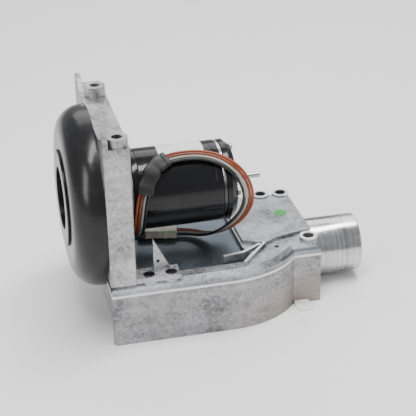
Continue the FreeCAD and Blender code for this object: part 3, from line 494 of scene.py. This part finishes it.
def can_profile():
    """The can's wall with its ends rolled in and a shallow groove near each end."""
    outside = [(CAN_LEFT, MOTOR_ROUND - 0.35), (CAN_LEFT + 0.5, MOTOR_ROUND)]
    for groove in GROOVES:
        outside += [(groove, MOTOR_ROUND), (groove + 0.35, MOTOR_ROUND - 0.3), (groove + 0.7, MOTOR_ROUND)]
    outside += [(CAN_RIGHT - 0.5, MOTOR_ROUND), (CAN_RIGHT, MOTOR_ROUND - 0.35)]
    return rounded_profile(outside + [(CAN_RIGHT, MOTOR_BORE), (CAN_LEFT, MOTOR_BORE)], 0.25)


def seam_dent(radius, angles):
    """A lengthwise seam at an angle behind the top: minus depth times exp(-(angle away / width)^2)."""
    away = np.angle(np.exp(1j * (angles - SEAM_ANGLE)))
    return np.where(radius > MOTOR_ROUND - 1, -SEAM_DEEP * np.exp(-(away / SEAM_WIDE) ** 2), 0)


motor_enamel = enamel_material("motor_enamel", (0.006, 0.006, 0.007), 0.16, 0.08, peel=420)
can = skin("motor_can_body", [(turned_grid(can_profile(), 360, seam_dent), True)])
stands_for(can, "motor_can", motor_enamel)
softened("motor_front_bell", 0.6 * MM, motor_enamel, steps=3)
softened("motor_rear_bell", 1.2 * MM, motor_enamel, steps=3)


def plated_material(name, colour, rough, lines, painted_low_shade=0.0):
    """Plated or turned metal: fine lines round the rotor's axis, scratches, dull patches, and painted shade
    on its lower part.
    """
    paint = Paint(name, Metallic=1.0)
    ring = paint.noise(lines, 4, 0.7, paint.place((1, 0.02, 0.02)))
    dull = paint.noise(50, 4, 0.7)
    scratch = paint.band(paint.spots(60, paint.place((1, 3, 0.4), turn=(0.4, 0.2, 0.7))), 0.0, 0.03, 1, 0)
    dark = tuple(0.55 * part for part in colour)
    tone = paint.blend(paint.band(ring * 0.6 + dull * 0.4, 0.3, 0.62), dark, colour)
    if painted_low_shade:
        # Painted shade: darker below the axis, standing in for the dark reflection on the lower part of the
        # bands.
        height = paint.axes()[2] + dull * 0.006
        low = paint.band(height, AXIS_HIGH + 8 * MM, AXIS_HIGH + 26 * MM, 1, 0) * painted_low_shade
        tone = paint.blend(low, tone, (0.03, 0.03, 0.032))
    return paint.finish(height=ring + scratch * 0.3, depth=0.00008, strength=0.5, Base_Color=tone,
                        Roughness=paint.band(dull, 0.3, 0.7, rough, rough + 0.16))


# The end bands carry painted shade on their lower part.
bright_plate = plated_material("bright_plate", (0.8, 0.8, 0.81), 0.1, 900, painted_low_shade=0.93)
band_round, band_bevel = MOTOR_ROUND - 0.4, 0.6
for node, left in (("motor_front_band", BAND_LEFT), ("motor_rear_band", CAN_RIGHT)):
    right = left + BAND_LONG
    ring = [(left, band_round - 0.5), (left + band_bevel, band_round), (right - band_bevel, band_round),
            (right, band_round - 0.5), (right, MOTOR_BORE), (left, MOTOR_BORE)]
    band_piece = skin(node + "_body", [(turned_grid(rounded_profile(ring, 0.4)), True)])
    stands_for(band_piece, node, bright_plate)


# ---------------------------------------------------------------- screws
# Every screw and tie rod has a hexagon socket head: knurled, with a bevelled rim and a six-sided recess, on a
# plain shank. Those in the castings are blackened, and those in the motor are zinc plated.
def cap_screw(seat, axis, shank, long, head, high, key):
    """Rows of (height, radius) about the screw's axis; the recess is key / cos(angle within its sixth)."""
    angles = np.linspace(0, 2 * np.pi, 48, endpoint=False)
    flat = (angles + np.pi / 6) % (np.pi / 3) - np.pi / 6
    hexagon = key / np.cos(flat)
    knurl = head * (1 + 0.012 * np.cos(24 * angles))
    round_row = np.ones_like(angles)
    bevel = 0.12 * head
    rows = [(-long, 0 * round_row), (-long, 0.8 * shank * round_row), (0.6 - long, shank * round_row),
            (0, shank * round_row), (0, knurl), (high - bevel, knurl), (high, (head - bevel) * round_row),
            (high, hexagon * 1.1), (high - 0.25, hexagon), (high - 0.6 * high, hexagon),
            (high - 0.72 * high, 0 * round_row)]
    height = np.array([row[0] for row in rows])[:, None] + 0 * angles
    radius = np.array([row[1] for row in rows])
    first, second = radius * np.cos(angles), radius * np.sin(angles)
    local = {"Z": (first, second, height), "X": (height, first, second)}[axis]
    return np.stack([start + part * MM for start, part in zip(seat, local)], -1), False


def about_axis(x, radius, degrees):
    """A point beside the rotor's axis, its angle counted from +Y towards +Z."""
    angle = math.radians(degrees)
    return (LEFT_WALL + x * MM, radius * math.cos(angle) * MM, AXIS_HIGH + radius * math.sin(angle) * MM)


def on_box(x, y, z):
    """A point counted from the box's left wall, the fan's middle and its underside, in millimetres."""
    return (LEFT_WALL + x * MM, y * MM, z * MM)


def screw_set(node, seats, axis, material, **size):
    """All the screws of one CAD node, seated under their heads, as one piece."""
    made = skin(node + "_body", [cap_screw(seat, axis, **size) for seat in seats])
    return stands_for(made, node, material)


black_oxide = plated_material("black_oxide", (0.05, 0.05, 0.055), 0.36, 300)
zinc_plate = plated_material("zinc_plate", (0.55, 0.56, 0.58), 0.28, 300)
COVER_TOP = 54
cover_seats = [on_box(x, y, COVER_TOP - 2) for x, y in ((174, -36.5), (174, 50.5), (156, 52))]
frame_seats = [on_box(x, y, COVER_TOP + 2) for x in (32, 50) for y in (-67.5, 67.5)]
shell_seats = [about_axis(4, 67.5, angle) for angle in (20, 160, 200, 340)]
motor_seats = [about_axis(9, 39.4, angle) for angle in (45, 135, 225, 315)]
rod_seats = [about_axis(BELL_RIGHT, 28.6, angle) for angle in (0, 90, 180, 270)]
screw_set("cover_screws", cover_seats, "Z", black_oxide, shank=2.5, long=24.8, head=4.2, high=3.4, key=1.9)
screw_set("frame_screws", frame_seats, "Z", black_oxide, shank=2.5, long=28.8, head=4.2, high=2.6, key=1.9)
screw_set("shell_screws", shell_seats, "X", black_oxide, shank=2, long=11, head=3.8, high=3, key=1.5)
screw_set("motor_screws", motor_seats, "X", zinc_plate, shank=2, long=9, head=3.6, high=3, key=1.5)
screw_set("tie_rods", rod_seats, "X", zinc_plate, shank=1.5, long=BELL_RIGHT - 6, head=2.8, high=2.2, key=1.1)


# ---------------------------------------------------------------- rotor, bearings, stator and impeller
# Inside are a ground shaft and bearings, laminated cores and enamelled copper. The impeller, pressed from
# sheet on a turned hub with a zinc plated nut, is seen through the eye.
ground_steel = plated_material("ground_steel", (0.6, 0.6, 0.62), 0.16, 1200)
lamination = plated_material("lamination_stack", (0.2, 0.2, 0.215), 0.45, 2600)
pressed_sheet = plated_material("pressed_sheet", (0.55, 0.56, 0.57), 0.3, 120)
copper = plated_material("enamelled_copper", (0.5, 0.19, 0.06), 0.3, 1500)
turned_bright = plated_material("turned_hub", (0.66, 0.66, 0.68), 0.2, 700)
inner_finishes = {"ground_steel": ground_steel, "lamination": lamination, "copper_wire": copper,
                  "impeller_metal": pressed_sheet}
for node, piece in nodes.items():
    if slots[node] in inner_finishes:
        dress(piece, inner_finishes[slots[node]])
dress(nodes["rotor_end_rings"], turned_bright)
dress(nodes["impeller_hub"], turned_bright)
dress(nodes["impeller_nut"], zinc_plate)
dress(nodes["wave_washer"], zinc_plate)


# ---------------------------------------------------------------- outlet spigot
# The spigot is turned from aluminium tube: fine tool marks run round it, and its rim is bevelled. A slightly
# smaller seat goes through the box's end wall.
SPIGOT_HIGH = 27 * MM
SPIGOT_BORE, SPIGOT_SEAT, SPIGOT_ROUND, SPIGOT_BEVEL = 23.2, 24.4, 25, 1.2
SEAT_LEFT, BOX_RIGHT, SPIGOT_RIGHT = 174, 182, 227


def turned_aluminium():
    """Turned aluminium: rings of slightly different tone and height along X, and grey handling smears."""
    paint = Paint("turned_aluminium", Metallic=1.0)
    coarse = paint.noise(260, 3, 0.7, paint.place((1, 0.004, 0.004)))
    tool = paint.noise(2400, 2, 0.6, paint.place((1, 0.002, 0.002)))
    smear = paint.noise(36, 4, 0.65, paint.place((0.7, 1, 1)), 0.5)
    tone = paint.ramp(coarse * 0.45 + smear * 0.35 + tool * 0.2,
                      [(0.36, (0.3, 0.3, 0.31)), (0.5, (0.52, 0.52, 0.53)), (0.62, (0.74, 0.74, 0.75))])
    return paint.finish(height=coarse * 0.5 + tool * 0.5, depth=0.0001, strength=0.35, Base_Color=tone,
                        Roughness=paint.band(smear, 0.35, 0.65, 0.14, 0.3))


def spigot_grid():
    """The spigot's profile turned about its own axis."""
    profile = rounded_profile([
        (SEAT_LEFT, SPIGOT_BORE), (SEAT_LEFT, SPIGOT_SEAT),
        (BOX_RIGHT, SPIGOT_SEAT), (BOX_RIGHT, SPIGOT_ROUND),
        (SPIGOT_RIGHT - SPIGOT_BEVEL, SPIGOT_ROUND), (SPIGOT_RIGHT, SPIGOT_ROUND - SPIGOT_BEVEL),
        (SPIGOT_RIGHT, SPIGOT_BORE)], 0.25)
    points = turned_grid(profile, 192)
    points[..., 2] += SPIGOT_HIGH - AXIS_HIGH
    return points


stands_for(skin("outlet_spigot_body", [(spigot_grid(), True)]), "outlet_spigot", turned_aluminium())


# ---------------------------------------------------------------- holders of the leads
# A nylon tie and a wrapped sleeve hold the bundle together on the can. A moulded nylon gland feeds it out
# under the front bell, and it ends in a connector of pale nylon.
def lofted(place, sections):
    """Rounded rectangles along a run, from rows of (along, half width, half height, corner radius).

    Each quarter is its corner's centre plus radius times (cos, sin) of a quarter turn.
    """
    turns = np.linspace(0, np.pi / 2, 6) + np.arange(4)[:, None] * np.pi / 2
    side, up = np.array([1, -1, -1, 1])[:, None], np.array([1, 1, -1, -1])[:, None]
    along, wide, high, corner = np.array(sections, float).T[..., None, None]
    across = side * (wide - corner) + corner * np.cos(turns)
    outwards = up * (high - corner) + corner * np.sin(turns)
    local = np.stack([along + 0 * across, across, outwards], -1).reshape(len(sections), -1, 3)
    matrix = np.array(place)
    return local * MM @ matrix[:3, :3].T + matrix[:3, 3]


def run_place(index, share, level=False):
    """The placement on a run of the bundle's route: X along it, Z outwards from the motor, Y across."""
    start, end = on_motor(*LEAD_ROUTE[index]), on_motor(*LEAD_ROUTE[index + 1])
    along = (end - start).normalized()
    out = Vector((0, 0, -1)) if level else Vector((0, start.y, start.z - AXIS_HIGH))
    out = (out - along * out.dot(along)).normalized()
    turned = Matrix((along, out.cross(along), out)).transposed().to_4x4()
    return Matrix.Translation(start + (end - start) * share) @ turned


def nylon_material(name, colour, rough):
    """Moulded nylon: faint flow marks, a fine grain and slightly polished high spots."""
    paint = Paint(name, IOR=1.53)
    flow = paint.noise(120, 4, 0.6, warp=0.8)
    grain = paint.noise(1500, 2)
    grime = paint.band(paint.noise(160, 4, 0.7), 0.55, 0.75) * 0.3
    tone = paint.blend(paint.band(flow, 0.3, 0.7), tuple(0.8 * part for part in colour), colour)
    return paint.finish(height=flow * 0.4 + grain * 0.6, depth=0.00005, strength=0.5,
                        Base_Color=paint.blend(grime, tone, tuple(0.5 * part for part in colour)),
                        Roughness=paint.band(flow, 0.3, 0.7, rough - 0.06, rough + 0.12))


black_nylon = nylon_material("black_nylon", (0.007, 0.007, 0.008), 0.5)
cream_nylon = nylon_material("cream_nylon", (0.82, 0.78, 0.64), 0.42)
# Half the width and height of the space that the four leads fill, in millimetres.
HOLD_WIDE, HOLD_HIGH = 5.7, 1.95


def hoop(places, long, wall, bulge=0.0):
    """A band round the bundle along one or more placements: its outside there, then its inside back."""
    steps = ((-0.5, 0.7), (-0.42, 1), (0, 1 + bulge), (0.42, 1), (0.5, 0.7))
    outside = [(along * long, HOLD_WIDE + wall * share, HOLD_HIGH + wall * share, 1.9)
               for along, share in steps]
    inside = [(along * long, HOLD_WIDE, HOLD_HIGH, 1.4) for along, share in steps]
    outer = np.concatenate([lofted(place, outside) for place in places])
    inner = np.concatenate([lofted(place, inside) for place in places])
    return np.concatenate([outer, inner[::-1]]), True


tie = skin("cable_tie_body", [hoop([run_place(5, 0.8)], 3.6, 0.9)])
stands_for(tie, "cable_tie", black_nylon)
wrap_places = [run_place(3, 0.5), run_place(4, 0.5), run_place(5, 0.34)]
sleeve = skin("lead_sleeve_body", [hoop(wrap_places, 8.2, 1.1, bulge=0.35)])
stands_for(sleeve, "lead_sleeve", black_nylon)
# The gland is a ribbed block, and the connector a stepped one with a hollow at its open end.
gland_rows = [(-8, 0.1, 0.1, 0.05), (-8, 5.8, 2.2, 1.0), (-8, 6.6, 3.0, 1.2), (-7.4, 7, 3.4, 1.4),
              (-5.6, 7, 3.4, 1.4), (-5.2, 6.5, 2.9, 1.3), (-4, 6.5, 2.9, 1.3), (-3.6, 7, 3.4, 1.4),
              (-2, 7, 3.4, 1.4), (-1.6, 6.5, 2.9, 1.3), (-0.4, 6.5, 2.9, 1.3), (0, 6, 2.4, 1.1),
              (0, 0.1, 0.1, 0.05)]
gland = skin("lead_gland_body", [(lofted(run_place(0, 0.0), gland_rows), False)])
stands_for(gland, "lead_gland", black_nylon)
plug_rows = [(0, 0.1, 0.1, 0.05), (0, 5.6, 2.9, 1.0), (0.6, 6.2, 3.5, 1.3), (9, 6.2, 3.5, 1.3),
             (9.4, 6.5, 3.8, 1.4), (11, 6.5, 3.8, 1.4), (11.4, 6.1, 3.4, 1.2), (24, 6.1, 3.4, 1.2),
             (24.4, 6.5, 3.8, 1.4), (33.4, 6.5, 3.8, 1.4), (34, 6.0, 3.3, 1.2), (34, 5.0, 2.5, 0.8),
             (28, 5.0, 2.5, 0.8), (28, 0.1, 0.1, 0.05)]
plug_place = run_place(len(LEAD_ROUTE) - 2, 1.0, level=True)
plug = skin("lead_connector_body", [(lofted(plug_place, plug_rows), False)])
stands_for(plug, "lead_connector", cream_nylon)

for name, wire in lead_objects.items():
    route = beside(LEAD_ROUTE, LEADS[name] * LEAD_PITCH)
    on_motor(*route[0])


# ---------------------------------------------------------------- label, sticker and nylon tab
# The blank rating label is satin film that follows the can, with rounded corners. A round green sticker
# marks the raised pad, and a white nylon tab is pressed in at the foot of the nose.
LABEL_MIDDLE, LABEL_HALF_LONG = 73, 19
LABEL_TURN, LABEL_HALF_TURN = -9.5, 32.5
LABEL_LIFT = 0.19


def label_patch():
    """A sheet bent round the can: middle plus half size times (u, v), with |u|^9 + |v|^9 = 1 at its rim."""
    columns, rows = 72, 9
    turns = np.linspace(0, 2 * np.pi, columns, endpoint=False)
    reach = (np.abs(np.cos(turns)) ** 9 + np.abs(np.sin(turns)) ** 9) ** (-1 / 9)
    grid = []
    shares = [0, *np.linspace(0.2, 0.985, rows), 1, 1]
    for share, lift in zip(shares, [LABEL_LIFT] * (rows + 1) + [0.12, 0.0]):
        x = LABEL_MIDDLE + LABEL_HALF_LONG * share * reach * np.cos(turns)
        angle = np.radians(LABEL_TURN + LABEL_HALF_TURN * share * reach * np.sin(turns))
        radius = MOTOR_ROUND + lift
        grid.append(np.stack([LEFT_WALL + x * MM, -radius * np.sin(angle) * MM,
                              AXIS_HIGH + radius * np.cos(angle) * MM], -1))
    return np.array(grid)


def film_material(name, colour, rough):
    """Printed film or paper: slight yellowing, soft creases and finger marks in its gloss."""
    paint = Paint(name, IOR=1.46)
    smudge = paint.noise(46, 4, 0.6)
    crease = paint.noise(90, 3, 0.6, paint.place((1, 0.4, 0.4)))
    tone = paint.blend(paint.band(smudge, 0.42, 0.75), colour, tuple(0.86 * part for part in colour))
    return paint.finish(height=crease, depth=0.00012, strength=0.35, Base_Color=tone,
                        Roughness=paint.band(smudge, 0.3, 0.7, rough, rough + 0.2))


label = skin("rating_label_body", [(label_patch(), False)], sharp=60)
stands_for(label, "rating_label", film_material("label_film", (0.82, 0.82, 0.81), 0.28))
softened("inspection_dot", 0.1 * MM, film_material("sticker_green", (0.03, 0.33, 0.06), 0.45))
softened("foot_tab", 0.6 * MM, nylon_material("white_nylon", (0.93, 0.93, 0.92), 0.4))


# ---------------------------------------------------------------- floor and light
# A plain pale floor; a long overhead panel whose reflection runs along the can, a window at the left, a
# weaker fill at the right and a glow from behind.
HALF_FLOOR = 3.0
floor_mesh = bpy.data.meshes.new("floor")
floor_mesh.from_pydata([(HALF_FLOOR * side, HALF_FLOOR * end, 0) for side, end in
                        ((-1, -1), (1, -1), (1, 1), (-1, 1))], [], [(0, 1, 2, 3)])
floor = bpy.data.objects.new("floor", floor_mesh)
bpy.context.scene.collection.objects.link(floor)
floor_paint = Paint("floor_paint", Base_Color=(0.93, 0.925, 0.92))
dress(floor, floor_paint.finish(Roughness=floor_paint.band(floor_paint.noise(4), 0.3, 0.7, 0.55, 0.65)))


def panel(name, place, aim, wide, high, watts):
    """A soft rectangular studio light that faces a point."""
    light = bpy.data.lights.new(name, "AREA")
    light.shape = "RECTANGLE"
    light.size = wide
    light.size_y = high
    light.energy = watts
    made = bpy.data.objects.new(name, light)
    made.location = place
    made.rotation_euler = (Vector(aim) - Vector(place)).to_track_quat("-Z", "Y").to_euler()
    bpy.context.scene.collection.objects.link(made)


panel("overhead", (0.1, -0.12, 1.55), (0, 0, 0.05), 1.8, 0.3, 32)
panel("left_window", (-1.4, -0.9, 0.9), (0, 0, 0.1), 0.5, 1.1, 13)
panel("right_fill", (1.3, -0.9, 0.8), (0, 0, 0.1), 0.9, 0.9, 3)
panel("back_glow", (0.2, 1.3, 1.3), (0, 0, 0.1), 1.8, 1.0, 14)
world = bpy.data.worlds.new("studio")
world.use_nodes = True
sky = world.node_tree.nodes["Background"].inputs
sky["Color"].default_value = (0.93, 0.94, 0.95, 1)
sky["Strength"].default_value = 0.5
bpy.context.scene.world = world
